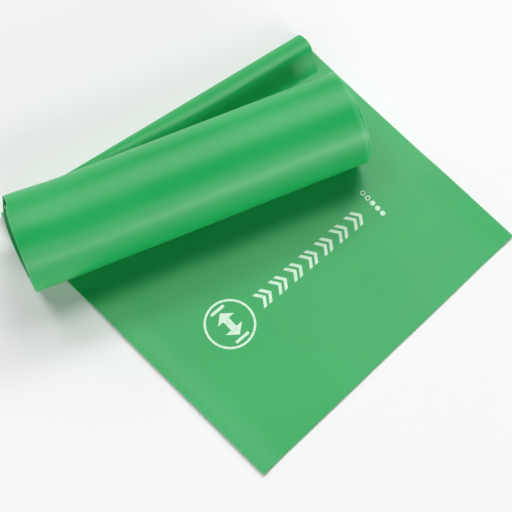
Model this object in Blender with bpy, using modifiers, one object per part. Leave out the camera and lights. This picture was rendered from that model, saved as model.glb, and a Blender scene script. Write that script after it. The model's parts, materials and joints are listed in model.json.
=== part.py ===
"""A flat resistance band, wound into a roll that lies on the band's own free tail.

The band is one sheet of rubber. It is divided here only where it bends, folds or stretches.
From the free end the sheet runs back flat under the roll, folds up and over on a skewed line,
comes forward to the roll's underside, and winds up the front and over the top towards the core.

Metres. +X runs along the roll's axis, -Y towards the free end, +Z up. The origin is on the
tail's underside, below the middle of the roll.
"""

import math

import bpy
from mathutils import Vector

# The band
BAND_LENGTH = 1.500
BAND_WIDTH = 0.150
SHEET = 0.0005  # thickness of the rubber
GAP = 0.0003  # clearance between neighbouring pieces
HALF_WIDTH = BAND_WIDTH / 2
HALF_SHEET = SHEET / 2
HALF_GAP = GAP / 2
TOP_GAP = GAP / 6  # the fold's share of the gap at its top, where a little travel goes a long way

# The tail, and the fold behind the roll
TAIL_SKEW = math.radians(21.1)  # between the tail's length and the wound sheet's
FOLD_SKEW = TAIL_SKEW / 2  # a fold turns the sheet by twice its own skew
FOLD_RADIUS = 0.0019  # of the sheet's middle surface
FOLD_DISTANCE = 0.036  # from the roll's axis back to the fold's axis, halfway along the roll
TAIL_LENGTH = 0.142  # from the fold to the free edge, along the tail's middle
FOLD_STEPS = 14
UPPER_STEPS = 22
FOLD_COLUMNS = 7

# The fold is tight at the left. To the right it is a loose loop, its upper half longer and higher.
FOLD_DEPTH = 0.0012  # from its axis to its back edge
LOOP_LENGTH = 0.007
LOOP_RISE = 0.0038
LOOP_START = -0.060  # distances across the sheet between which the fold goes from tight to loose
LOOP_FULL = 0.030
FOLD_FALL = 0.011  # the layer sinks from the fold's top to the tail over this length

# Lines across the tail where it bends (their Y), and its stretching and held lengths
BEND_LINES = (-0.024, -0.031, -0.038)
STRETCH_LENGTH = 0.019
GRIP_LENGTH = 0.010

# The roll. The inner turns are wound tighter than the first one: they lie against its lower front,
# leave a gap along its upper back, and stand out a little further at the roll's right end. The
# sheet strays along the axis by a millimetre or two, so neither end is quite flat.
TURN = 2 * math.pi
ROLL_PITCH = SHEET + GAP
ROLL_RADIUS = 0.0207  # of the sheet's middle surface, where the first turn starts
ROLL_FLOOR = SHEET + GAP + HALF_SHEET  # height of the sheet's middle where the roll rests
INNER_SLACK = 0.0013  # how much smaller the inner turns are than an even spiral's
INNER_START = 0.45 * TURN  # where the first turn begins to tighten
INNER_SETTLED = 1.35 * TURN  # and where the inner turns are even again
INNER_LEAN = math.radians(40)  # the direction they lie in, from straight down towards the front
ROLL_STRAY = 0.0013  # how far the wound sheet lies to the right of the flat layer
TOP_STRAY = 0.0019  # how far the top of the first turn lies back to the left of that
LEFT_RECESS = 0.0016  # how far the inner turns draw in at their left ends
FOLD_STRAY = 0.0009  # how far the sheet has moved to the right at the top of the fold
STEPS_PER_TURN = 36
STEP_ANGLE = TURN / STEPS_PER_TURN

# Directions and the fold's axis, which crosses the tail's middle line at FOLD_POINT
FOLD_ALONG = Vector((math.cos(FOLD_SKEW), math.sin(FOLD_SKEW), 0))
FOLD_BACK = Vector((-math.sin(FOLD_SKEW), math.cos(FOLD_SKEW), 0))
TAIL_FORWARD = Vector((math.sin(TAIL_SKEW), -math.cos(TAIL_SKEW), 0))
TAIL_ACROSS = Vector((math.cos(TAIL_SKEW), math.sin(TAIL_SKEW), 0))
FOLD_ARC = math.pi * FOLD_RADIUS
FOLD_SHIFT = FOLD_ARC * math.sin(FOLD_SKEW)  # sideways run of the sheet round the fold
FOLD_HEIGHT = HALF_SHEET + FOLD_RADIUS
FOLD_POINT = Vector((FOLD_SHIFT, FOLD_DISTANCE + FOLD_SHIFT * math.tan(FOLD_SKEW), FOLD_HEIGHT))

RUBBER_COLOUR = (0.055, 0.420, 0.135, 1)
RUBBER_ROUGHNESS = 0.42


def clear_scene():
    for obj in list(bpy.data.objects):
        bpy.data.objects.remove(obj, do_unlink=True)


def new_collection(name):
    collection = bpy.data.collections.new(name)
    bpy.context.scene.collection.children.link(collection)
    return collection


def rubber(name):
    material = bpy.data.materials.new(name + "_rubber")
    material.use_nodes = True
    shader = material.node_tree.nodes["Principled BSDF"]
    shader.inputs["Base Color"].default_value = RUBBER_COLOUR
    shader.inputs["Roughness"].default_value = RUBBER_ROUGHNESS
    shader.inputs["Metallic"].default_value = 0
    return material


def add_pivot(name, place, collection, parent=None):
    """An empty on a joint's axis. place is in world coordinates."""
    pivot = bpy.data.objects.new(name, None)
    pivot.empty_display_size = 0.01
    return attach(pivot, place, collection, parent)


def attach(obj, place, collection, parent):
    """Link obj at the world position place, under a parent that only moves and never turns."""
    collection.objects.link(obj)
    obj.parent = parent
    obj.location = place - world_place(parent)
    return obj


def world_place(obj):
    place = Vector((0, 0, 0))
    while obj is not None:
        place += obj.location
        obj = obj.parent
    return place


# The tail. A line across it is (offset, slope): its distance from the fold point along the tail
# is offset + slope * the distance across, positive to the right.


def line_at_fold(clearance):
    return clearance / math.cos(FOLD_SKEW), math.tan(FOLD_SKEW)


def line_at_bend(y):
    return (FOLD_POINT.y - y) / math.cos(TAIL_SKEW), math.tan(TAIL_SKEW)


def line_straight_across(distance):
    return distance, 0.0


def tail_point(across, line):
    offset, slope = line
    point = FOLD_POINT + TAIL_FORWARD * (offset + slope * across) + TAIL_ACROSS * across
    point.z = HALF_SHEET
    return point


def tail_panel(name, back, front, pivot, collection):
    """A flat piece of the tail between two lines, with its origin at its pivot."""
    corners = (
        tail_point(-HALF_WIDTH, back),
        tail_point(HALF_WIDTH, back),
        tail_point(HALF_WIDTH, front),
        tail_point(-HALF_WIDTH, front),
    )
    origin = world_place(pivot)
    origin.z = HALF_SHEET
    outline = bpy.data.curves.new(name, "CURVE")
    outline.dimensions = "2D"
    outline.fill_mode = "BOTH"
    outline.extrude = HALF_SHEET
    spline = outline.splines.new("POLY")
    spline.points.add(len(corners) - 1)
    spline.use_cyclic_u = True
    for point, corner in zip(spline.points, corners):
        point.co = (*(corner - origin), 1)
    outline.materials.append(rubber(name))
    return attach(bpy.data.objects.new(name, outline), origin, collection, pivot)


def build_tail(collection):
    root = add_pivot("band_root", Vector((0, 0, 0)), collection)
    pivots = [root]
    for number, y in enumerate(BEND_LINES, start=1):
        place = Vector((0, y, SHEET))
        pivots.append(add_pivot(f"bend_pivot_{number}", place, collection, pivots[-1]))
    stretch_back = TAIL_LENGTH - GRIP_LENGTH - STRETCH_LENGTH
    stretch_front = TAIL_LENGTH - GRIP_LENGTH
    slide_place = tail_point(0, line_straight_across(stretch_front))
    slide = add_pivot("stretch_slide", slide_place, collection, pivots[-1])

    backs = [line_at_fold(HALF_GAP)] + [line_at_bend(y - HALF_GAP) for y in BEND_LINES]
    fronts = [line_at_bend(y + HALF_GAP) for y in BEND_LINES]
    fronts.append(line_straight_across(stretch_back - HALF_GAP))
    names = ("tail_base", "bend_strip_1", "bend_strip_2", "tail_flap")
    for name, back, front, pivot in zip(names, backs, fronts, pivots):
        tail_panel(name, back, front, pivot, collection)

    back = line_straight_across(stretch_back + HALF_GAP)
    front = line_straight_across(stretch_front - HALF_GAP)
    tail_panel("stretch_section", back, front, pivots[-1], collection)
    back = line_straight_across(stretch_front + HALF_GAP)
    front = line_straight_across(TAIL_LENGTH)
    tail_panel("grip_end", back, front, slide, collection)
    return root


# The fold, and the layer that lies between it and the roll


def ease(share):
    """A smooth step from 0 to 1 as share goes from 0 to 1."""
    share = min(max(share, 0), 1)
    return share * share * (3 - 2 * share)


def lofted_sheet(name, rows, pivot, collection):
    """A sheet through rows of world points, from left to right, thickened evenly about them."""
    origin = world_place(pivot)
    width = len(rows[0])
    points = [point - origin for row in rows for point in row]
    starts = [row * width + step for row in range(len(rows) - 1) for step in range(width - 1)]
    faces = [(i, i + 1, i + 1 + width, i + width) for i in starts]
    mesh = bpy.data.meshes.new(name)
    mesh.from_pydata(points, [], faces)
    mesh.materials.append(rubber(name))
    mesh.shade_smooth()
    obj = attach(bpy.data.objects.new(name, mesh), origin, collection, pivot)
    solidify = obj.modifiers.new("thickness", "SOLIDIFY")
    solidify.thickness = SHEET
    solidify.offset = 0
    solidify.use_even_offset = True


def edge_to_edge(point_at, value, count=2):
    """Points from the sheet's left edge to its right, where point_at(across, value) gives one."""
    step = 2 * HALF_WIDTH / (count - 1)
    return [point_at(-HALF_WIDTH + number * step, value) for number in range(count)]


def fold_point(across, travel):
    """A point of the sheet's middle surface, travel metres round the fold from its underside.

    Where the fold is tight it is a flattened half circle. Its loose upper half is stretched.
    """
    sideways = (across - travel * math.sin(FOLD_SKEW)) / math.cos(FOLD_SKEW)
    sideways += FOLD_STRAY * ease(travel / FOLD_ARC)
    angle = travel / FOLD_RADIUS
    loose = 0
    if angle > math.pi / 2:
        loose = ease((across - LOOP_START) / (LOOP_FULL - LOOP_START))
    forward = 1 - math.sin(angle)
    back = FOLD_DEPTH - (FOLD_DEPTH + LOOP_LENGTH * loose) * forward
    rise = LOOP_RISE * loose * forward * (2 - forward) - FOLD_RADIUS * math.cos(angle)
    return FOLD_POINT + FOLD_ALONG * sideways + FOLD_BACK * back + Vector((0, 0, rise))


def build_fold(root, collection):
    arc = FOLD_ARC - HALF_GAP - TOP_GAP
    travels = [HALF_GAP + arc * step / FOLD_STEPS for step in range(FOLD_STEPS + 1)]
    rows = [edge_to_edge(fold_point, travel, FOLD_COLUMNS) for travel in travels]
    lofted_sheet("back_fold", rows, root, collection)


def upper_point(across, share):
    """The sheet between the roll's underside (share 0) and the top of the fold (share 1)."""
    top = fold_point(across, FOLD_ARC)
    x = top.x * share + roll_point(across, 0).x * (1 - share)
    y = HALF_GAP + (top.y - GAP + TOP_GAP - HALF_GAP) * share
    fall = ease((top.y - y) / FOLD_FALL)
    return Vector((x, y, top.z + (ROLL_FLOOR - top.z) * fall))


def build_upper_lay(pivot, collection):
    shares = [1 - step / UPPER_STEPS for step in range(UPPER_STEPS + 1)]
    rows = [edge_to_edge(upper_point, share, FOLD_COLUMNS) for share in shares]
    lofted_sheet("upper_lay", rows, pivot, collection)


# The roll, a spiral whose angle is counted from its underside, forwards and up


def roll_stray(across, angle):
    """How far the wound sheet lies along the axis from its place across the flat band."""
    leftness = (1 - across / HALF_WIDTH) / 2
    top = ease((angle - 0.14 * TURN) / (0.17 * TURN)) * ease((1.11 * TURN - angle) / (0.58 * TURN))
    recess = leftness * ease((angle - 0.9 * TURN) / (0.25 * TURN))
    stray = ROLL_STRAY - 0.0003 * leftness - top * (TOP_STRAY - 0.0004 * leftness)
    return stray + LEFT_RECESS * recess


def roll_point(across, angle):
    inner = ease((angle - INNER_START) / (INNER_SETTLED - INNER_START))
    slack = INNER_SLACK * inner
    radius = ROLL_RADIUS - ROLL_PITCH * angle / TURN - slack
    centre_y = -slack * math.sin(INNER_LEAN)
    centre_z = ROLL_FLOOR + ROLL_RADIUS - slack * math.cos(INNER_LEAN)
    y = centre_y - radius * math.sin(angle)
    z = centre_z - radius * math.cos(angle)
    return Vector((across + roll_stray(across, angle), y, z))


def spiral_end(length):
    """The angle at which the sheet, wound on from its first contact, has used up a length."""
    angle = 0
    while length > 0:
        step = roll_point(0, angle + STEP_ANGLE) - roll_point(0, angle)
        length -= step.length
        angle += STEP_ANGLE
    return angle


def wound_sheet(name, start, end, pivot, collection):
    """A stretch of the spiral. Its turns share their angles, so their facets lie parallel."""
    first = math.floor(start / STEP_ANGLE) + 1
    last = math.ceil(end / STEP_ANGLE)
    angles = [start] + [number * STEP_ANGLE for number in range(first, last)] + [end]
    rows = [edge_to_edge(roll_point, angle) for angle in angles]
    lofted_sheet(name, rows, pivot, collection)


def build_roll(pivot, collection):
    cut = HALF_GAP / ROLL_RADIUS
    wound_length = BAND_LENGTH - TAIL_LENGTH - FOLD_ARC - FOLD_DISTANCE
    wound_sheet("roll_outer_turn", cut, TURN - cut, pivot, collection)
    wound_sheet("roll_coil", TURN + cut, spiral_end(wound_length), pivot, collection)


def main():
    clear_scene()
    collection = new_collection("resistance_band")
    root = build_tail(collection)
    build_fold(root, collection)
    fold_pivot = add_pivot("fold_pivot", FOLD_POINT, collection, root)
    build_upper_lay(fold_pivot, collection)
    build_roll(fold_pivot, collection)


main()
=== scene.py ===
"""The looks of a flat resistance band, part rolled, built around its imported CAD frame.

The band is one sheet. Its middle surface is described here from the free end, back under the
roll, round the fold, forward to the roll's underside and round the roll to the core. Each piece
is a closed slab of that surface, and neighbours share their edge rows, so no seam shows.

Points are numpy arrays of x, y, z in metres, in the frame of the CAD model.
"""

import json
import math

import bmesh
import bpy
import numpy as np
from mathutils import Matrix, Vector


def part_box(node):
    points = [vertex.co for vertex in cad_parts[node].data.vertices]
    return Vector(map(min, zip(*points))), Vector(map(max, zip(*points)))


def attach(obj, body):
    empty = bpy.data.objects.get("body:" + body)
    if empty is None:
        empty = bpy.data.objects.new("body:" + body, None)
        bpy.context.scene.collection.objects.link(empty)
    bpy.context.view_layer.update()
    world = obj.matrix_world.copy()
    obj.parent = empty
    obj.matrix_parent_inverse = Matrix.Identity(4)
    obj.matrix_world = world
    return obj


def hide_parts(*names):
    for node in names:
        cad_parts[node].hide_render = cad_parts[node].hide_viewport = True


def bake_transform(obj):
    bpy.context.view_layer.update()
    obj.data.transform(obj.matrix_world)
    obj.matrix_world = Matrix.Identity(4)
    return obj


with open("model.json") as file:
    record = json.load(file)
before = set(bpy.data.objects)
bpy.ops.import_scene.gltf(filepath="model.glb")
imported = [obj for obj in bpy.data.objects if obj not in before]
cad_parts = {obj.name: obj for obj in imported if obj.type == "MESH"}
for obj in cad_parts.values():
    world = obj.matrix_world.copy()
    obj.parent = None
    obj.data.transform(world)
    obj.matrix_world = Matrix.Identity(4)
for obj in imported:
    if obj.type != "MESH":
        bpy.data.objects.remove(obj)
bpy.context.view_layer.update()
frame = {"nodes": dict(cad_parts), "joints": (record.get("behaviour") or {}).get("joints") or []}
joints = {joint["name"]: joint for joint in frame["joints"]}

MM = 0.001
TURN = 2 * math.pi
UP = np.array((0.0, 0.0, 1.0))

# ---------------------------------------------------------------- the band, from the frame


def reach(node, start, heading):
    """Least and greatest distance of a node's points from start, along a heading."""
    distances = [
        float(np.dot(np.array(vertex.co) - start, heading))
        for vertex in frame["nodes"][node].data.vertices
    ]
    return min(distances), max(distances)


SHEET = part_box("tail_base")[1].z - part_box("tail_base")[0].z
HALF_SHEET = SHEET / 2
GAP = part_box("upper_lay")[0].z - SHEET

# The fold's axis, the tail's directions, and the angles between them and the roll
FOLD_POINT = np.array(joints["fold_opening"]["pos_m"], float)
FOLD_ALONG = -np.array(joints["fold_opening"]["axis"], float)
FOLD_BACK = np.array((-FOLD_ALONG[1], FOLD_ALONG[0], 0))
TAIL_FORWARD = np.array(joints["tail_stretch"]["axis"], float)
TAIL_ACROSS = np.array((-TAIL_FORWARD[1], TAIL_FORWARD[0], 0))
HALF_WIDTH = reach("grip_end", FOLD_POINT, TAIL_ACROSS)[1]
FOLD_SKEW = math.atan2(FOLD_ALONG[1], FOLD_ALONG[0])
TAIL_SKEW = math.asin(TAIL_FORWARD[0])
FOLD_RADIUS = FOLD_POINT[2] - HALF_SHEET
FOLD_ARC = math.pi * FOLD_RADIUS

# Distances along the tail from the fold, and the lines where it bends (their Y)
TAIL_LENGTH = reach("grip_end", FOLD_POINT, TAIL_FORWARD)[1]
STRETCH_FRONT = reach("stretch_section", FOLD_POINT, TAIL_FORWARD)[1]
STRETCH_BACK = reach("stretch_section", FOLD_POINT, TAIL_FORWARD)[0]
BEND_LINES = [joints[f"tail_bend_{number}"]["pos_m"][1] for number in (1, 2, 3)]
BEND_HALF = (BEND_LINES[0] - BEND_LINES[1]) / 2

# The roll, as in the CAD model
ROLL_PITCH = SHEET + GAP
ROLL_FLOOR = SHEET + GAP + HALF_SHEET
ROLL_RADIUS = -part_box("roll_outer_turn")[0].y - HALF_SHEET + ROLL_PITCH / 4
BAND_LENGTH = 1.5
INNER_SLACK = 1.3 * MM
INNER_START = 0.45 * TURN
INNER_SETTLED = 1.35 * TURN
INNER_LEAN = math.radians(40)

# The fold: its depth from its axis to its back edge, how much longer and higher its upper half
# is where it is loose, and how far the layer takes to sink from its top to the tail
FOLD_DEPTH = 1.2 * MM
LOOP_LENGTH = 7 * MM
LOOP_RISE = 3.8 * MM
FOLD_FALL = 11 * MM

# How far in front of the roll's axis the tail begins to leave the table, and is free of it
LIFT_START = 18 * MM
LIFT_END = 32 * MM

# How far the sheet strays along the axis: the roll and the fold to +X, and the top of the roll's
# first turn back to -X
ROLL_STRAY = 1.3 * MM
FOLD_STRAY = 0.9 * MM
TOP_STRAY = 1.9 * MM
# How much less the roll and that top stray at the left end
LEFT_LAG = 0.3 * MM
LEFT_TOP_LAG = 0.4 * MM
# How far the left edge goes besides: to +X in the inner turns and at the back of the first, and
# to -X at the front of the first and under the roll
INNER_RECESS = 0.6 * MM
BACK_RECESS = 2.3 * MM
FRONT_LEAD = 0.4 * MM
UNDER_LEAD = 0.5 * MM

SHEET_PLACE = "sheet_place"  # each vertex's place on the unrolled band: across, along, through
CHAMFER = 0.08 * MM  # of the cut edges
NUDGE = 1e-4  # step for measuring a surface's slope
SHARP_ANGLE = math.radians(35)  # an edge sharper than this isn't smoothed

# Columns of vertices across the band, between its chamfers
FLAT_COLUMNS = 76
OUTER_COLUMNS = 61
COIL_COLUMNS = 13

# ---------------------------------------------------------------- the sheet's middle surface


def ease(share):
    """A smooth step from 0 to 1 as share goes from 0 to 1."""
    share = np.clip(share, 0, 1)
    return share * share * (3 - 2 * share)


def scaled(vector, amounts):
    """The vector times each amount, for any shape of amounts."""
    return np.multiply.outer(amounts, vector)


def edge_share(outwards, width):
    """Eases from 0 to 1 over the last width metres before one of the band's edges."""
    return ease((outwards - HALF_WIDTH + width) / width)


def tail_lift(point):
    """How far the tail stands off the table: low waves and slightly raised long edges."""
    offset = point - FOLD_POINT
    across = offset @ TAIL_ACROSS
    along = offset @ TAIL_FORWARD
    left_curl = 0.7 * MM * edge_share(-across, 16 * MM) ** 2
    right_curl = 0.5 * MM * edge_share(across, 18 * MM) ** 2
    long_wave = 1 + np.sin(across / (9 * MM) + along / (31 * MM) + 0.6)
    cross_wave = 1 + np.sin(along / (13 * MM) - across / (38 * MM) + 2.1)
    waves = 0.10 * MM * long_wave + 0.08 * MM * cross_wave
    free = ease((-point[..., 1] - LIFT_START) / (LIFT_END - LIFT_START))
    return (left_curl + right_curl + waves) * free


def tail_surface(across, along):
    """The flat tail, its right edge drawn in a little. along is measured forwards from the fold."""
    drawn_in = (0.3 * MM + 0.3 * MM * across / HALF_WIDTH) * ease(along / (60 * MM))
    point = FOLD_POINT + scaled(TAIL_FORWARD, along) + scaled(TAIL_ACROSS, across - drawn_in)
    point[..., 2] = HALF_SHEET + tail_lift(point)
    return point


def looseness(across):
    """How loose the fold is, from 0 at the left, where it lies close to the roll, to 1."""
    return ease((across + 60 * MM) / (90 * MM))


def fold_surface(across, travel):
    """The fold, travel metres round it from its underside: a flat half circle where it is tight."""
    sideways = (across - travel * math.sin(FOLD_SKEW)) / math.cos(FOLD_SKEW)
    sideways = sideways + FOLD_STRAY * ease(travel / FOLD_ARC)
    angle = travel / FOLD_RADIUS
    upper_half = np.where(angle > math.pi / 2, looseness(across), 0)
    forward = 1 - np.sin(angle)
    back = FOLD_DEPTH - (FOLD_DEPTH + LOOP_LENGTH * upper_half) * forward
    height = LOOP_RISE * upper_half * forward * (2 - forward) - FOLD_RADIUS * np.cos(angle)
    centre = FOLD_POINT + scaled(FOLD_ALONG, sideways)
    return centre + back[..., None] * FOLD_BACK + height[..., None] * UP


def upper_surface(across, share):
    """The layer between the roll's underside (share 0) and the top of the fold (share 1)."""
    top = fold_surface(across, np.full_like(across, FOLD_ARC))
    x = top[..., 0] * share + (across + roll_stray(across, 0)) * (1 - share)
    y = top[..., 1] * share
    fall = ease((top[..., 1] - y) / FOLD_FALL)
    z = top[..., 2] + (ROLL_FLOOR - top[..., 2]) * fall
    return np.stack((x, y, z), -1)


def roll_bulge(across, angle):
    """The first turn's waves and its flared left end, and uneven spacing of the turns inside it."""
    first = ease(angle / 0.9) * ease((TURN - angle) / 0.9)
    waves = 1 + np.sin(2.2 * angle + across / (60 * MM)) * np.sin(0.8 + across / (34 * MM))
    opening = ease((angle - 0.33 * TURN) / 1.2) * ease((0.90 * TURN - angle) / 1.4)
    flare = edge_share(-across, 26 * MM) * opening
    inside = ease((angle - TURN) / TURN)
    uneven = 0.07 * MM * inside * np.sin(1.37 * angle)
    return 0.10 * MM * waves * first + 1.1 * MM * flare + uneven


def hill(share, rise_from, rise_to, fall_from, fall_to):
    """Eases from 0 up to 1 over the first range of share, and back to 0 over the second."""
    rise = ease((share - rise_from) / (rise_to - rise_from))
    return rise * ease((fall_to - share) / (fall_to - fall_from))


def roll_stray(across, angle):
    """How far the sheet strays along the axis at an angle of the spiral."""
    turns = angle / TURN
    leftness = (1 - across / HALF_WIDTH) / 2
    top = hill(turns, 0.14, 0.31, 0.53, 1.11)
    back = hill(turns, 0.5, 0.62, 0.72, 0.86)
    front = hill(turns, 0.22, 0.44, 0.46, 0.58)
    under = hill(turns, 0.82, 0.92, 1.14, 1.24)
    inner = ease((turns - 0.9) / 0.25)
    uneven = ease(turns - 1) * (np.sin(0.83 * angle) + np.sin(0.31 * angle + 1))
    stray = ROLL_STRAY - LEFT_LAG * leftness - top * (TOP_STRAY - LEFT_TOP_LAG * leftness)
    left_edge = BACK_RECESS * back + INNER_RECESS * inner - FRONT_LEAD * front - UNDER_LEAD * under
    return stray + leftness * left_edge + 0.14 * MM * uneven


def roll_surface(across, angle):
    """The spiral. Its angle is counted from the roll's underside, forwards and up."""
    inner = ease((angle - INNER_START) / (INNER_SETTLED - INNER_START))
    slack = INNER_SLACK * inner
    radius = ROLL_RADIUS - ROLL_PITCH * angle / TURN - slack + roll_bulge(across, angle)
    y = -slack * math.sin(INNER_LEAN) - radius * np.sin(angle)
    z = ROLL_FLOOR + ROLL_RADIUS - slack * math.cos(INNER_LEAN) - radius * np.cos(angle)
    return np.stack((across + roll_stray(across, angle), y, z), -1)


def roll_end():
    """The angle at which the band, wound on from the roll's underside, is used up."""
    wound = BAND_LENGTH - TAIL_LENGTH - FOLD_ARC - FOLD_POINT[1]
    angles = np.arange(0, 20 * TURN, 0.02)
    line = roll_surface(np.zeros_like(angles), angles)
    lengths = np.cumsum(np.linalg.norm(np.diff(line, axis=0), axis=1))
    return float(angles[np.searchsorted(lengths, wound)])


# How far a point is along the band, from the free end


def band_at_tail(across, along):
    return TAIL_LENGTH - along


def band_at_fold(across, travel):
    sideways = (across - travel * math.sin(FOLD_SKEW)) / math.cos(FOLD_SKEW)
    return TAIL_LENGTH - sideways * math.sin(FOLD_SKEW) + travel * math.cos(FOLD_SKEW)


def band_at_upper(across, share):
    fold_top = fold_surface(across, np.full_like(across, FOLD_ARC))[..., 1]
    return band_at_fold(across, np.full_like(across, FOLD_ARC)) + fold_top * (1 - share)


def band_at_roll(across, angle):
    contact = TAIL_LENGTH + FOLD_ARC * math.cos(FOLD_SKEW) + FOLD_POINT[1]
    return contact + ROLL_RADIUS * angle - ROLL_PITCH * angle**2 / (2 * TURN)


# ---------------------------------------------------------------- slabs of the sheet


def columns(count):
    """Distances across the band: even steps, with a chamfer's width at each edge."""
    inner = np.linspace(-HALF_WIDTH + CHAMFER, HALF_WIDTH - CHAMFER, count)
    return np.concatenate(([-HALF_WIDTH], inner, [HALF_WIDTH]))


def slope_of(surface, across, station, d_across, d_station):
    """How a surface changes over a small step to either side of each of its points."""
    ahead = surface(across + d_across, station + d_station)
    return ahead - surface(across - d_across, station - d_station)


def closed_sheet(name, surface, band_place, stations, count, first_cut=False, last_cut=False):
    """A closed slab about surface(across, station), with its cut edges chamfered.

    Stations run from the band's free end towards the core. A row that is a cut end is chamfered,
    and the others run on into a neighbour.
    """
    across, station = np.meshgrid(columns(count), np.asarray(stations, float))
    points = surface(across, station)
    sideways = slope_of(surface, across, station, NUDGE, 0)
    onward = slope_of(surface, across, station, 0, NUDGE)
    normal = np.cross(sideways, onward)
    normal /= np.linalg.norm(normal, axis=-1, keepdims=True)
    half = np.full(across.shape, HALF_SHEET)
    half[:, (0, -1)] -= CHAMFER
    if first_cut:
        half[0] = HALF_SHEET - CHAMFER
    if last_cut:
        half[-1] = HALF_SHEET - CHAMFER
    shift = normal * half[..., None]
    place = np.stack((across, band_place(across, station), np.zeros_like(across)), -1)
    sides = np.array((0, 0, 1)) * HALF_SHEET
    vertices = np.concatenate(((points + shift).reshape(-1, 3), (points - shift).reshape(-1, 3)))
    places = np.concatenate(((place + sides).reshape(-1, 3), (place - sides).reshape(-1, 3)))
    return slab_mesh(name, vertices, places, *across.shape)


def slab_mesh(name, vertices, places, rows, width):
    """A mesh of two grids of vertices, the upper one first, joined round their rims."""
    starts = [row * width + column for row in range(rows - 1) for column in range(width - 1)]
    faces = [(a, a + 1, a + 1 + width, a + width) for a in starts]
    rim = list(range(width))
    rim += [row * width + width - 1 for row in range(1, rows)]
    rim += [(rows - 1) * width + column for column in range(width - 2, -1, -1)]
    rim += [row * width for row in range(rows - 2, 0, -1)]
    obj = closed_mesh(name, vertices, places, faces, zip(rim, rim[1:] + rim[:1]), RUBBER)
    obj.data.shade_smooth()
    obj.data.set_sharp_from_angle(angle=SHARP_ANGLE)
    return obj


def closed_mesh(name, vertices, places, upper_faces, rim_edges, material):
    """A solid from its upper faces and a like set below them, whose vertices come second."""
    under = len(vertices) // 2
    faces = list(upper_faces)
    faces += [tuple(under + index for index in reversed(face)) for face in upper_faces]
    faces += [(b, a, under + a, under + b) for a, b in rim_edges]
    mesh = bpy.data.meshes.new(name)
    mesh.from_pydata(vertices.tolist(), [], faces)
    attribute = mesh.attributes.new(SHEET_PLACE, "FLOAT_VECTOR", "POINT")
    attribute.data.foreach_set("vector", places.astype(np.float32).ravel())
    mesh.materials.append(material)
    obj = bpy.data.objects.new(name, mesh)
    bpy.context.scene.collection.objects.link(obj)
    return obj


def spread(*stops):
    """Stations from stop to stop. Each stop after the first is (value, steps to it)."""
    values = [stops[0]]
    for value, steps in stops[1:]:
        values.extend(np.linspace(values[-1], value, steps + 1)[1:])
    return values


# ---------------------------------------------------------------- materials


class Nodes:
    """A short way to add and link a material's nodes."""

    def __init__(self, material):
        material.use_nodes = True
        self.tree = material.node_tree
        self.shader = self.tree.nodes["Principled BSDF"]

    def add(self, kind, inputs=None, **settings):
        node = self.tree.nodes.new(kind)
        for key, value in settings.items():
            setattr(node, key, value)
        for key, value in (inputs or {}).items():
            self.feed(node.inputs[key], value)
        return node

    def feed(self, socket, value):
        if isinstance(value, bpy.types.NodeSocket):
            self.tree.links.new(value, socket)
        else:
            socket.default_value = value

    def place(self, scale):
        """The place on the unrolled band, scaled by (across, along, through)."""
        attribute = self.add("ShaderNodeAttribute", attribute_name=SHEET_PLACE)
        inputs = {0: attribute.outputs["Vector"], 1: scale}
        return self.add("ShaderNodeVectorMath", inputs, operation="MULTIPLY").outputs[0]

    def noise(self, scale, detail=2.0, roughness=0.5):
        inputs = {"Vector": self.place(scale), "Scale": 1, "Detail": detail, "Roughness": roughness}
        return self.add("ShaderNodeTexNoise", inputs).outputs["Fac"]

    def spread(self, value, low, high, from_low=0.3, from_high=0.7):
        inputs = {
            "Value": value,
            "From Min": from_low,
            "From Max": from_high,
            "To Min": low,
            "To Max": high,
        }
        return self.add("ShaderNodeMapRange", inputs).outputs["Result"]

    def maths(self, operation, a, b=0.0):
        return self.add("ShaderNodeMath", {0: a, 1: b}, operation=operation).outputs[0]

    def blend(self, factor, a, b):
        node = self.add("ShaderNodeMix", data_type="RGBA")
        self.feed(node.inputs[0], factor)
        self.feed(node.inputs[6], a)
        self.feed(node.inputs[7], b)
        return node.outputs[2]

    def bump(self, height, distance, strength=1.0, normal=None):
        inputs = {"Height": height, "Distance": distance, "Strength": strength}
        if normal is not None:
            inputs["Normal"] = normal
        return self.add("ShaderNodeBump", inputs).outputs["Normal"]


# Distances along the band at which it starts up the roll, and at which the coil begins
ROLL_FROM = 190 * MM
COIL_FROM = 300 * MM
TRANSITION = 10 * MM

DARK_GREEN = (0.006, 0.385, 0.088, 1)
MID_GREEN = (0.011, 0.425, 0.104, 1)
STREAK_GREEN = (0.018, 0.45, 0.125, 1)
GRAIN_GREEN = (0.05, 0.48, 0.17, 1)
EDGE_GREEN = (0.22, 0.62, 0.33, 1)
# A pale green painted along the roll's right rim, as a painted highlight where light catches the
# rim
RIM_HIGHLIGHT_GREEN = (0.12, 0.66, 0.28, 1)
THIN_INK = (0.60, 0.88, 0.66, 1)
FULL_INK = (0.78, 0.96, 0.80, 1)


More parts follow.
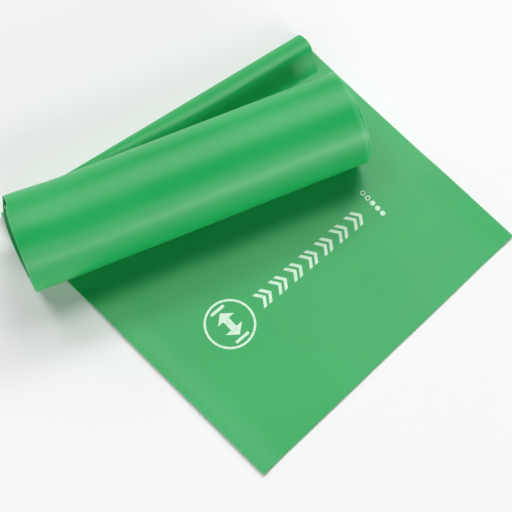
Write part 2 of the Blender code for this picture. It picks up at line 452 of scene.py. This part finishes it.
def rubber_material():
    """Satin green rubber sheet with faint rolling marks, a paler cut edge, painted shade at the
    roll's left end and a painted highlight along its right rim.
    """
    material = bpy.data.materials.new("green_rubber")
    nodes = Nodes(material)
    clouds = nodes.noise((22, 22, 40), detail=3)
    streaks = nodes.noise((420, 14, 40), detail=2)
    ripples = nodes.noise((26, 210, 40), detail=1)
    grain = nodes.noise((2600, 2600, 2600), detail=2)
    colour = nodes.blend(nodes.spread(clouds, 0, 1), DARK_GREEN, MID_GREEN)
    colour = nodes.blend(nodes.spread(streaks, 0, 0.10), colour, STREAK_GREEN)
    colour = nodes.blend(nodes.spread(grain, 0, 0.06), colour, GRAIN_GREEN)
    colour = pale_edges_and_painted_light(nodes, colour)
    nodes.feed(nodes.shader.inputs["Base Color"], colour)
    rough = nodes.maths("ADD", nodes.spread(clouds, 0.34, 0.40), nodes.spread(streaks, 0, 0.03))
    nodes.feed(nodes.shader.inputs["Roughness"], rough)
    normal = nodes.bump(ripples, 0.05 * MM)
    normal = nodes.bump(streaks, 0.006 * MM, normal=normal)
    normal = nodes.bump(grain, 0.006 * MM, normal=normal)
    nodes.feed(nodes.shader.inputs["Normal"], normal)
    nodes.shader.inputs["IOR"].default_value = 1.5
    return material


def pale_edges_and_painted_light(nodes, colour):
    """Pale cut edges, left off deep in the roll's left end as painted shade, and a painted
    highlight along its right rim.
    """
    place = nodes.add("ShaderNodeSeparateXYZ", {0: nodes.place((1, 1, 1))})
    across, along = place.outputs[0], place.outputs[1]
    right = nodes.spread(across, 0, 1, -MM, MM)
    before_coil = nodes.spread(along, 1, 0, COIL_FROM - TRANSITION, COIL_FROM + TRANSITION)
    # Painted shade: the pale edge is left off the coil's left end, so that end stays dark as if in
    # shadow
    outside_painted_shade = nodes.maths("MAXIMUM", right, before_coil)
    from_middle = nodes.maths("ABSOLUTE", across)
    edge = nodes.spread(from_middle, 0, 1, HALF_WIDTH - 0.5 * MM, HALF_WIDTH - 0.05 * MM)
    edge = nodes.maths("MULTIPLY", edge, outside_painted_shade)
    colour = nodes.blend(nodes.maths("MULTIPLY", edge, 0.45), colour, EDGE_GREEN)
    # Painted highlight: a paler band along the right rim of the roll, standing in for light
    # catching it
    painted_rim_highlight = nodes.spread(across, 0, 0.3, HALF_WIDTH - 2.2 * MM, HALF_WIDTH - 0.3 * MM)
    wound = nodes.spread(along, 0, 1, ROLL_FROM - TRANSITION, ROLL_FROM + TRANSITION)
    return nodes.blend(nodes.maths("MULTIPLY", painted_rim_highlight, wound), colour, RIM_HIGHLIGHT_GREEN)


def ink_material():
    """Matt white ink, slightly uneven where the rubber shows through."""
    material = bpy.data.materials.new("white_ink")
    nodes = Nodes(material)
    wear = nodes.noise((700, 700, 40), detail=4)
    colour = nodes.blend(nodes.spread(wear, 0, 1, 0.35, 0.6), THIN_INK, FULL_INK)
    nodes.feed(nodes.shader.inputs["Base Color"], colour)
    nodes.feed(nodes.shader.inputs["Roughness"], nodes.spread(wear, 0.48, 0.6))
    nodes.feed(nodes.shader.inputs["Normal"], nodes.bump(wear, 0.008 * MM))
    return material


def floor_material():
    material = bpy.data.materials.new("white_sweep")
    nodes = Nodes(material)
    nodes.shader.inputs["Base Color"].default_value = (0.97, 0.97, 0.97, 1)
    nodes.shader.inputs["Roughness"].default_value = 0.75
    return material


RUBBER = rubber_material()
INK = ink_material()

# ---------------------------------------------------------------- the pieces of the sheet


def bend_line(y):
    """A line across the tail at a constant Y, as (distance along at the middle, slope)."""
    return (FOLD_POINT[1] - y) / math.cos(TAIL_SKEW), math.tan(TAIL_SKEW)


def tail_between(lines):
    """The tail's surface and band place where station 0, 1, 2 ... are the given lines across it."""
    offsets, slopes = zip(*lines)
    numbers = range(len(lines))

    def along(across, station):
        offset = np.interp(station, numbers, offsets)
        return offset + np.interp(station, numbers, slopes) * across

    def surface(across, station):
        return tail_surface(across, along(across, station))

    def band_place(across, station):
        return band_at_tail(across, along(across, station))

    return surface, band_place


def bend_zone(number):
    """Where the tail turns about bend line 1, 2 or 3: from y and to y."""
    return BEND_LINES[number - 1] + BEND_HALF, BEND_LINES[number - 1] - BEND_HALF


def blend_at_bend(piece, number):
    back, front = bend_zone(number)
    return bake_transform(piece)


def build_tail():
    """The tail in four pieces: the first over the stretch section, and the others over a bend zone
    each.
    """
    lines = [(TAIL_LENGTH, 0), (TAIL_LENGTH - CHAMFER, 0), (STRETCH_FRONT, 0), (STRETCH_BACK, 0)]
    stations = spread(0, (1, 1), (2, 8), (3, 24))
    shape = tail_between(lines)
    pull_end = closed_sheet("pull_end_sheet", *shape, stations, FLAT_COLUMNS, first_cut=True)

    back, front = bend_zone(3)
    lines = [(STRETCH_BACK, 0), bend_line(front), bend_line(back)]
    stations = spread(0, (1, 36), (2, 14))
    flap = closed_sheet("tail_flap_sheet", *tail_between(lines), stations, FLAT_COLUMNS)

    back, front = bend_zone(2)
    lines = [bend_line(front), bend_line(back)]
    stations = spread(0, (1, 14))
    bend = closed_sheet("tail_bend_sheet", *tail_between(lines), stations, FLAT_COLUMNS)

    back, front = bend_zone(1)
    lines = [bend_line(front), bend_line(back), (0, math.tan(FOLD_SKEW))]
    stations = spread(0, (1, 14), (2, 20))
    under = closed_sheet("tail_under_sheet", *tail_between(lines), stations, FLAT_COLUMNS)

    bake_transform(pull_end)
    blend_at_bend(flap, 3)
    blend_at_bend(bend, 2)
    blend_at_bend(under, 1)
    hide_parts("stretch_section", "grip_end")
    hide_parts("tail_flap")
    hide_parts("bend_strip_1", "bend_strip_2")
    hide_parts("tail_base")
    return pull_end, flap, bend, under


def build_fold():
    """The fold and the layer above it. Stations 0 to 1 go round the fold, 1 to 2 to the roll."""

    def surface(across, station):
        fold = fold_surface(across, station * FOLD_ARC)
        upper = upper_surface(across, 2 - station)
        return np.where((station <= 1)[..., None], fold, upper)

    def band_place(across, station):
        fold = band_at_fold(across, station * FOLD_ARC)
        upper = band_at_upper(across, 2 - station)
        return np.where(station <= 1, fold, upper)

    stations = spread(0, (1, 28), (2, 56))
    piece = closed_sheet("fold_and_upper_sheet", surface, band_place, stations, FLAT_COLUMNS)
    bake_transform(piece)
    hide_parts("back_fold", "upper_lay")
    return piece


def build_roll():
    """The first turn, with a row every 2 degrees, and the rest, with a row about every 5."""
    stations = np.linspace(0, TURN, 181)
    outer = closed_sheet("outer_turn_sheet", roll_surface, band_at_roll, stations, OUTER_COLUMNS)
    end = roll_end()
    rows = int((end - TURN) / math.radians(5))
    last_chamfer = 0.01
    stations = np.append(np.linspace(TURN, end - last_chamfer, rows), end)
    shape = roll_surface, band_at_roll
    coil = closed_sheet("coil_sheet", *shape, stations, COIL_COLUMNS, last_cut=True)
    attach(outer, "roll")
    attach(coil, "roll")
    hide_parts("roll_outer_turn")
    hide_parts("roll_coil")
    return outer, coil


# ---------------------------------------------------------------- the printed marks

INK_HEIGHT = 0.04 * MM
PRINT_STEP = 0.5 * MM  # between cuts across it, so that it bends with the sheet
PRINT_ACROSS = -39.5 * MM  # the emblem's middle
PRINT_ALONG = 86.5 * MM
PRINT_TURN = math.radians(2.4)
FAR = 1.0  # a y beyond either end of the print

# Outlines are in millimetres about the emblem's middle: x along the row, y towards the roll


def circle(x, y, radius, count=72):
    turns = [TURN * step / count for step in range(count)]
    return [(x + radius * math.cos(turn), y + radius * math.sin(turn)) for turn in turns]


def rectangle(x, y, width, height):
    half_w, half_h = width / 2, height / 2
    corners = ((-half_w, -half_h), (half_w, -half_h), (half_w, half_h), (-half_w, half_h))
    return [(x + dx, y + dy) for dx, dy in corners]


def emblem():
    """A ring round a double-headed arrow between two bars: pull both ends."""
    radius, line = 11, 1
    tip, head, neck, shaft = 6.2, 4.6, 2.4, 1.5
    upper = [(shaft, neck), (head, neck), (0, tip), (-head, neck), (-shaft, neck)]
    lower = [(-x, -y) for x, y in upper]
    ring = [circle(0, 0, radius), circle(0, 0, radius - line)]
    bars = [rectangle(0, side * 7.8, 7, 1.3) for side in (-1, 1)]
    return ring + [upper + lower] + bars


def chevron_row():
    """Seven pairs of plain chevrons pointing away from the emblem."""
    start, pitch, step, y = 15.2, 8.7, 3.1, -0.8
    width, height, stroke = 2.6, 7.4, 1.7
    outer = [(0, height / 2), (stroke, height / 2), (stroke + width, 0)]
    inner = [(stroke, -height / 2), (0, -height / 2), (width, 0)]
    row = []
    for number in range(7):
        for x in (start + pitch * number, start + pitch * number + step):
            row.append([(x + dx, y + dy) for dx, dy in outer + inner])
    return row


def level_pips():
    """Five pips along the band, three full and two hollow: the middle strength of five."""
    x, start, pitch = 81.8, -6.4, 3.1
    radius, hollow, sides = 1.15, 0.7, 32
    pips = []
    for number in range(5):
        y = start + pitch * number
        pips.append(circle(x, y, radius, sides))
        if number > 2:
            pips.append(circle(x, y, hollow, sides))
    return pips


def flat_print(outlines):
    """A flat bmesh filled between outlines, in its place on the tail."""
    curve = bpy.data.curves.new("outlines", "CURVE")
    curve.dimensions = "2D"
    curve.fill_mode = "BOTH"
    for outline in outlines:
        spline = curve.splines.new("POLY")
        spline.points.add(len(outline) - 1)
        spline.use_cyclic_u = True
        for point, (x, y) in zip(spline.points, outline):
            point.co = (x, y, 0, 1)
    holder = bpy.data.objects.new("outlines", curve)
    bpy.context.scene.collection.objects.link(holder)
    evaluated = holder.evaluated_get(bpy.context.evaluated_depsgraph_get())
    mesh = bpy.data.meshes.new_from_object(evaluated)
    bpy.data.objects.remove(holder)
    flat = bmesh.new()
    flat.from_mesh(mesh)
    bmesh.ops.remove_doubles(flat, verts=flat.verts, dist=1e-4)
    bmesh.ops.dissolve_degenerate(flat, edges=flat.edges, dist=1e-3)
    cos_turn, sin_turn = math.cos(PRINT_TURN), math.sin(PRINT_TURN)
    for vertex in flat.verts:
        x, y = vertex.co.x * MM, vertex.co.y * MM
        across = PRINT_ACROSS + x * cos_turn + y * sin_turn
        along = PRINT_ALONG + x * sin_turn - y * cos_turn
        vertex.co = FOLD_POINT + TAIL_FORWARD * along + TAIL_ACROSS * across
        vertex.co.z = 0
    return flat


def cut_at(flat, y, drop_front=False, drop_back=False):
    """Cuts a flat bmesh along a line of constant y, and drops one side of it if asked."""
    bmesh.ops.bisect_plane(
        flat,
        geom=flat.verts[:] + flat.edges[:] + flat.faces[:],
        dist=1e-7,
        plane_co=(0, y, 0),
        plane_no=(0, 1, 0),
        clear_inner=drop_front,
        clear_outer=drop_back,
    )


def printed_piece(name, outlines, back, front):
    """The part of the print between two lines of constant y, laid on the sheet."""
    flat = flat_print(outlines)
    cut_at(flat, back, drop_back=True)
    cut_at(flat, front, drop_front=True)
    furthest = min(vertex.co.y for vertex in flat.verts)
    nearest = max(vertex.co.y for vertex in flat.verts)
    first = math.ceil(furthest / PRINT_STEP)
    for number in range(first, math.ceil(nearest / PRINT_STEP)):
        cut_at(flat, number * PRINT_STEP)
    for face in flat.faces:
        if face.normal.z < 0:
            face.normal_flip()
    flat.verts.index_update()
    faces = [tuple(vertex.index for vertex in face.verts) for face in flat.faces]
    rims = [loop_ends(edge.link_loops[0]) for edge in flat.edges if edge.is_boundary]
    points = np.array([vertex.co for vertex in flat.verts], float)
    flat.free()
    surface = SHEET + tail_lift(points)
    upper, lower = points.copy(), points.copy()
    upper[:, 2] = surface + INK_HEIGHT
    lower[:, 2] = surface - HALF_SHEET / 2
    vertices = np.concatenate((upper, lower))
    offsets = vertices - FOLD_POINT
    across, along = offsets @ TAIL_ACROSS, offsets @ TAIL_FORWARD
    places = np.stack((across, band_at_tail(across, along), np.zeros_like(across)), -1)
    obj = closed_mesh(name, vertices, places, faces, rims, INK)
    return obj


def loop_ends(loop):
    """The indices of an edge's vertices, in the order in which its face runs through them."""
    return loop.vert.index, loop.link_loop_next.vert.index


def build_prints():
    """The print in three pieces, one on each piece of the tail that it reaches."""
    outlines = emblem() + chevron_row() + level_pips()
    pieces = []
    for name, number, back, front in (
        ("print_on_flap", 3, bend_zone(3)[0], -FAR),
        ("print_on_bend", 2, *bend_zone(2)),
        ("print_on_base", 1, FAR, bend_zone(1)[1]),
    ):
        piece = printed_piece(name, outlines, back, front)
        blend_at_bend(piece, number)
        pieces.append(piece)
    return pieces


# ---------------------------------------------------------------- the sections' flat sizes


def declare_sheets(pull_end, flap, under, outer_turn, coil):
    """Works out the flat lengths of three sections of the band before it was laid, folded and
    rolled up, and keeps none of them.
    """

    length = STRETCH_BACK - bend_line(bend_zone(3)[0])[0]

    length = bend_line(bend_zone(1)[1])[0]

    contact = band_at_roll(0, 0)
    length = contact - TAIL_LENGTH


# ---------------------------------------------------------------- stage, camera and lights


# Metres, and degrees for angles
FLOOR_SIZE = 7
FLOOR_DROP = 0.05 * MM  # keeps the floor clear of the tail's underside

CAMERA_TARGET = Vector((17.6 * MM, -35.1 * MM, 0))
CAMERA_AZIMUTH = -28.9
CAMERA_ELEVATION = 69.4
CAMERA_ROLL = 5.6
CAMERA_DISTANCE = 0.874
SENSOR_WIDTH = 36  # millimetres, and the lens too
LENS = 145.8

LIGHT_TARGET = Vector((0, -20 * MM, 20 * MM))
LIGHT_DISTANCE = 3.6
STRIP = (3.2, 0.64)
SOFTBOX = (1.4, 1.2)

# The world's glow: from its strength at the horizon to its strength overhead, by the sine of the
# elevation
GLOW_BOTTOM = 0.02
GLOW_TOP = 0.24
HORIZON_STRENGTH = 0.7
ZENITH_STRENGTH = 0.01


def build_floor():
    """A plain white floor, big enough to reach the horizon in low views."""
    bpy.ops.mesh.primitive_plane_add(size=FLOOR_SIZE, location=(0, 0, -FLOOR_DROP))
    floor = bpy.context.object
    floor.name = "floor"
    floor.data.materials.append(floor_material())


def direction(azimuth, elevation):
    """A unit vector towards an azimuth from -Y, counted towards +X, and an elevation."""
    a, e = math.radians(azimuth), math.radians(elevation)
    return Vector((math.sin(a) * math.cos(e), -math.cos(a) * math.cos(e), math.sin(e)))


def build_camera():
    """The photograph's camera, which looks down on the band from its free end's left."""
    away = direction(CAMERA_AZIMUTH, CAMERA_ELEVATION)
    data = bpy.data.cameras.new("camera")
    data.sensor_width = SENSOR_WIDTH
    data.lens = LENS
    camera = bpy.data.objects.new("camera", data)
    place = Matrix.Translation(CAMERA_TARGET + away * CAMERA_DISTANCE)
    turn = (-away).to_track_quat("-Z", "Y").to_matrix().to_4x4()
    tilt = Matrix.Rotation(math.radians(CAMERA_ROLL), 4, "Z")
    camera.matrix_world = place @ turn @ tilt
    bpy.context.scene.collection.objects.link(camera)
    bpy.context.scene.camera = camera


def area_light(name, azimuth, elevation, size, power):
    """A soft rectangular light that faces the band from LIGHT_DISTANCE away."""
    data = bpy.data.lights.new(name, "AREA")
    data.shape = "RECTANGLE"
    data.size, data.size_y = size
    data.energy = power
    light = bpy.data.objects.new(name, data)
    light.visible_camera = False
    away = direction(azimuth, elevation)
    light.location = LIGHT_TARGET + away * LIGHT_DISTANCE
    light.rotation_mode = "QUATERNION"
    light.rotation_quaternion = (-away).to_track_quat("-Z", "Y")
    bpy.context.scene.collection.objects.link(light)


def build_world():
    """A dark studio with a pale glow along the horizon, as of a far wall."""
    world = bpy.data.worlds.new("studio")
    world.use_nodes = True
    tree = world.node_tree
    coordinates = tree.nodes.new("ShaderNodeTexCoord")
    height = tree.nodes.new("ShaderNodeSeparateXYZ")
    glow = tree.nodes.new("ShaderNodeMapRange")
    glow.interpolation_type = "SMOOTHSTEP"
    glow.inputs["From Min"].default_value = GLOW_BOTTOM
    glow.inputs["From Max"].default_value = GLOW_TOP
    glow.inputs["To Min"].default_value = HORIZON_STRENGTH
    glow.inputs["To Max"].default_value = ZENITH_STRENGTH
    background = tree.nodes["Background"]
    background.inputs["Color"].default_value = (1, 1, 1, 1)
    tree.links.new(coordinates.outputs["Generated"], height.inputs[0])
    tree.links.new(height.outputs["Z"], glow.inputs["Value"])
    tree.links.new(glow.outputs["Result"], background.inputs["Strength"])
    bpy.context.scene.world = world


def build_lights():
    """Strips along the roll before and behind it, and softboxes at the right and overhead."""
    area_light("front_low_strip", 0, 10, STRIP, 29)
    area_light("front_strip", 0, 40, STRIP, 22.5)
    area_light("back_strip", 180, 50, STRIP, 31)
    area_light("back_low_strip", 180, 30, STRIP, 14)
    area_light("low_right_softbox", 20, 15, SOFTBOX, 34)
    area_light("back_right_softbox", 135, 40, SOFTBOX, 35)
    area_light("high_right_softbox", 135, 65, SOFTBOX, 26)
    area_light("high_left_softbox", -135, 65, SOFTBOX, 28)


# ---------------------------------------------------------------- put it together

pull_end, flap, bend, under = build_tail()
fold = build_fold()
outer_turn, coil = build_roll()

prints = build_prints()
declare_sheets(pull_end, flap, under, outer_turn, coil)

build_floor()
build_camera()
build_world()
build_lights()
bpy.context.scene.view_settings.view_transform = "Standard"
